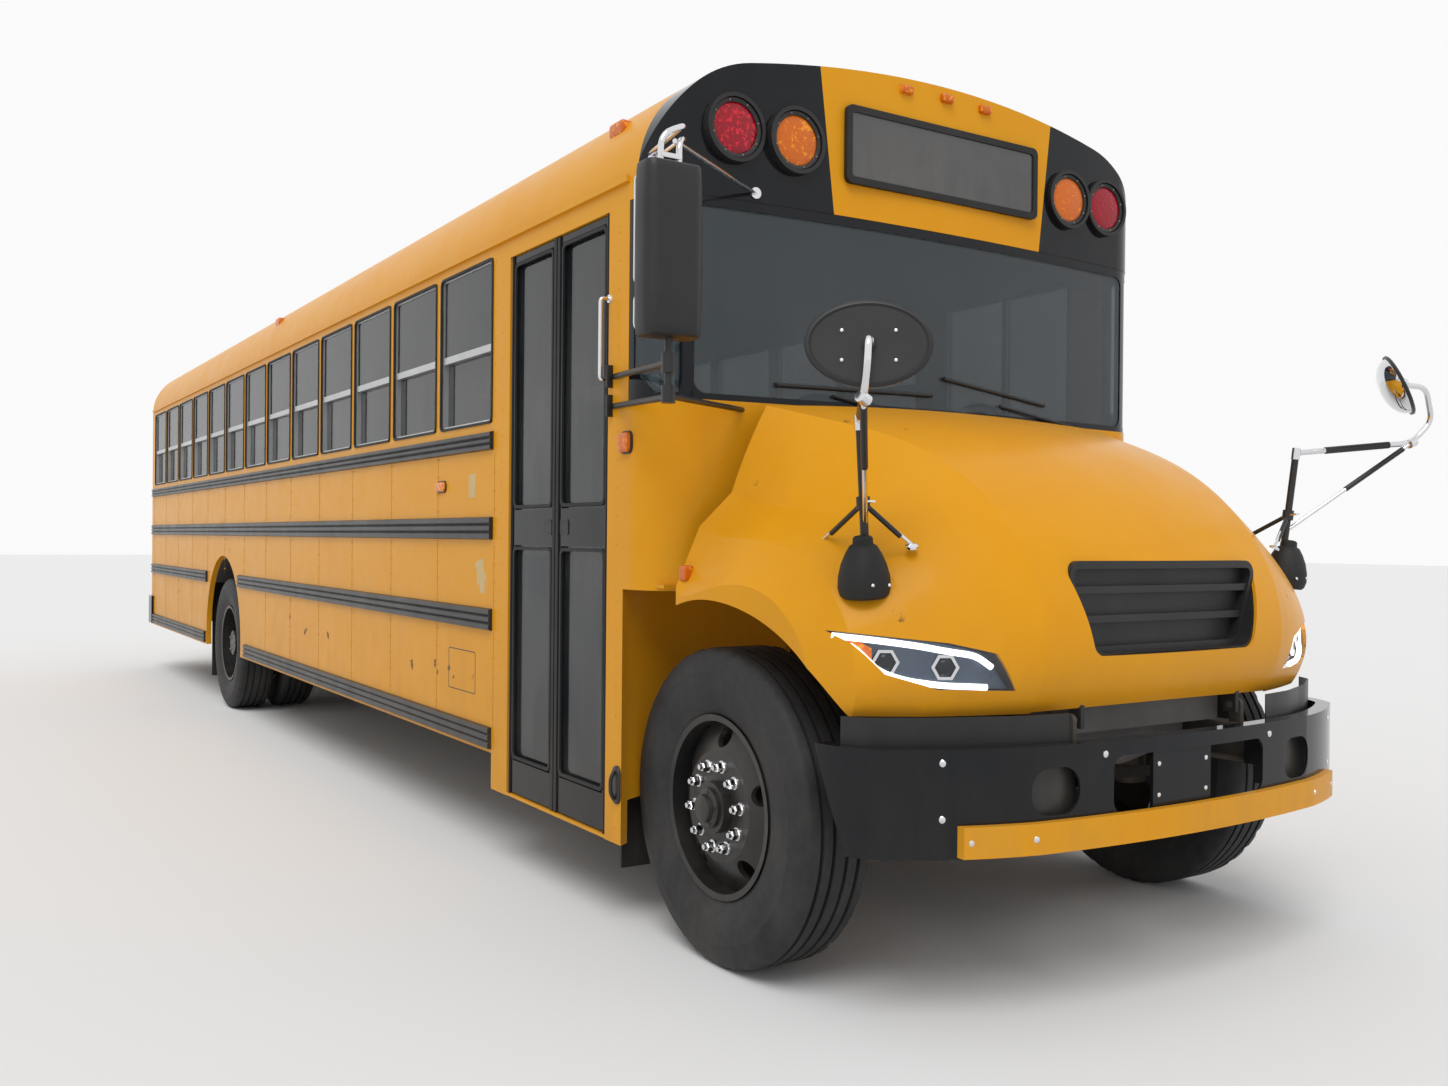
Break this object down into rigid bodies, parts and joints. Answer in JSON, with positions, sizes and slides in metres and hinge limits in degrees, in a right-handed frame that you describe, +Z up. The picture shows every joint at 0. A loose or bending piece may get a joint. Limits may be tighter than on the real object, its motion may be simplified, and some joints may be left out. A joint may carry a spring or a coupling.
{
  "type": "school bus",
  "caption": "Long conventional bus with a tilting hood, hollow cabin with bench seats, two-leaf entrance door, rear exit door, roof hatches, stop arm and steered wheels.",
  "frame": {"origin": "on the ground under the middle of the bounding box", "axes": "+X to the front of the bus, +Y to its left, +Z up"},
  "size_m": [11.8998, 3.0959, 3.1401],
  "materials": {
    "chassis_black": "worn satin",
    "engine_grey": "rough",
    "steel_dull": "dull",
    "floor_black": "ribbed matt",
    "body_yellow": "gloss, worn",
    "gloss_black": "gloss",
    "glass": "tinted",
    "sash_aluminium": "satin",
    "rail_black": "satin",
    "lamp_clear": "clear lens",
    "trim_black": "satin",
    "seat_blue": "vinyl",
    "seat_grey": "woven",
    "lens_red": "gloss",
    "lens_amber": "gloss",
    "sign_grey": "gloss",
    "flap_rubber": "matt",
    "hatch_white": "matt",
    "stop_red": "gloss",
    "tyre": "matt",
    "wheel_black": "satin"
  },
  "bodies": {
    "bus": {"amber_lamps": "lens_amber", "bench_seats": "seat_blue", "bumper_strip": "body_yellow", "cap_corners": "gloss_black", "chassis_frame": "chassis_black", "cowl": "body_yellow", "dashboard": "trim_black", "driver_seat": "seat_grey", "engine_block": "engine_grey", "exhaust": "steel_dull", "floor": "floor_black", "front_axle": "chassis_black", "front_bumper": "gloss_black", "front_cap": "body_yellow", "fuel_tank": "chassis_black", "lamp_hoods": "trim_black", "mirror_arms": "trim_black", "mud_flaps": "flap_rubber", "rear_axle": "chassis_black", "rear_bumper": "gloss_black", "rear_wall": "body_yellow", "red_lamps": "lens_red", "roof": "body_yellow", "rub_rails": "rail_black", "seat_frames": "chassis_black", "side_mirrors": "trim_black", "side_wall_left": "body_yellow", "side_wall_right": "body_yellow", "sign_glass": "sign_grey", "steps_wheelhouses": "floor_black", "stop_arm_bracket": "trim_black", "window_frames": "sash_aluminium", "window_glass": "glass", "windscreen": "glass", "windscreen_frame": "gloss_black", "wipers": "trim_black"},
    "hood": {"hood": "body_yellow", "headlamps": "lamp_clear", "grille": "trim_black", "crossover_mirrors": "trim_black"},
    "door_front": {"door_leaf_front": "gloss_black", "door_glass_front": "glass"},
    "door_rear": {"door_leaf_rear": "gloss_black", "door_glass_rear": "glass"},
    "exit_door": {"emergency_door": "body_yellow", "emergency_door_glass": "glass"},
    "hatch_front": {"roof_hatch_front": "hatch_white"},
    "hatch_rear": {"roof_hatch_rear": "hatch_white"},
    "stop_plate": {"stop_arm": "stop_red"},
    "knuckle_left": {"knuckle_left": "chassis_black"},
    "knuckle_right": {"knuckle_right": "chassis_black"},
    "tie_rod": {"tie_rod": "chassis_black"},
    "front_wheel_left": {"tyre_front_left": "tyre", "wheel_front_left": "wheel_black"},
    "front_wheel_right": {"tyre_front_right": "tyre", "wheel_front_right": "wheel_black"},
    "rear_wheels_left": {"tyres_rear_left": "tyre", "wheels_rear_left": "wheel_black"},
    "rear_wheels_right": {"tyres_rear_right": "tyre", "wheels_rear_right": "wheel_black"}
  },
  "joints": [
    {"name": "hood_tilt", "type": "hinge", "parent": "bus", "child": "hood", "pos_m": [5.78, 0, 0.85], "axis": [0, 1, 0], "range_deg": [0, 55]},
    {"name": "door_front", "type": "hinge", "parent": "bus", "child": "door_front", "pos_m": [4.346, -1.209, 1.4], "axis": [0, 0, 1], "range_deg": [0, 90]},
    {"name": "door_rear", "type": "hinge", "parent": "bus", "child": "door_rear", "pos_m": [3.496, -1.209, 1.4], "axis": [0, 0, -1], "range_deg": [0, 90]},
    {"name": "emergency_door", "type": "hinge", "parent": "bus", "child": "exit_door", "pos_m": [-5.85, -0.311, 1.7], "axis": [0, 0, 1], "range_deg": [0, 100]},
    {"name": "roof_hatch_front", "type": "hinge", "parent": "bus", "child": "hatch_front", "pos_m": [2.03, 0, 3.1219], "axis": [0, 1, 0], "range_deg": [0, 80]},
    {"name": "roof_hatch_rear", "type": "hinge", "parent": "bus", "child": "hatch_rear", "pos_m": [-3.07, 0, 3.1219], "axis": [0, 1, 0], "range_deg": [0, 80]},
    {"name": "stop_arm", "type": "hinge", "parent": "bus", "child": "stop_plate", "pos_m": [3.93, 1.255, 1.61], "axis": [0, 0, -1], "range_deg": [0, 90]},
    {"name": "steer_left", "type": "hinge", "parent": "bus", "child": "knuckle_left", "pos_m": [4.94, 0.88, 0.515], "axis": [0, 0, 1], "range_deg": [-35, 35]},
    {"name": "steer_right", "type": "hinge", "parent": "bus", "child": "knuckle_right", "pos_m": [4.94, -0.88, 0.515], "axis": [0, 0, 1], "range_deg": [-35, 35]},
    {"name": "tie_rod_turn", "type": "hinge", "parent": "knuckle_left", "child": "tie_rod", "pos_m": [4.75, 0.88, 0.375], "axis": [0, 0, 1], "range_deg": [-35, 35]},
    {"name": "front_left_spin", "type": "hinge", "parent": "knuckle_left", "child": "front_wheel_left", "pos_m": [4.94, 1, 0.515], "axis": [0, 1, 0], "continuous": true},
    {"name": "front_right_spin", "type": "hinge", "parent": "knuckle_right", "child": "front_wheel_right", "pos_m": [4.94, -1, 0.515], "axis": [0, 1, 0], "continuous": true},
    {"name": "rear_left_spin", "type": "hinge", "parent": "bus", "child": "rear_wheels_left", "pos_m": [-2.24, 0.9, 0.515], "axis": [0, 1, 0], "continuous": true},
    {"name": "rear_right_spin", "type": "hinge", "parent": "bus", "child": "rear_wheels_right", "pos_m": [-2.24, -0.9, 0.515], "axis": [0, 1, 0], "continuous": true}
  ],
  "couplings": [
    {"joint": "steer_right", "follows": "steer_left", "ratio": 1},
    {"joint": "tie_rod_turn", "follows": "steer_left", "ratio": -1},
    {"joint": "door_rear", "follows": "door_front", "ratio": 1}
  ]
}
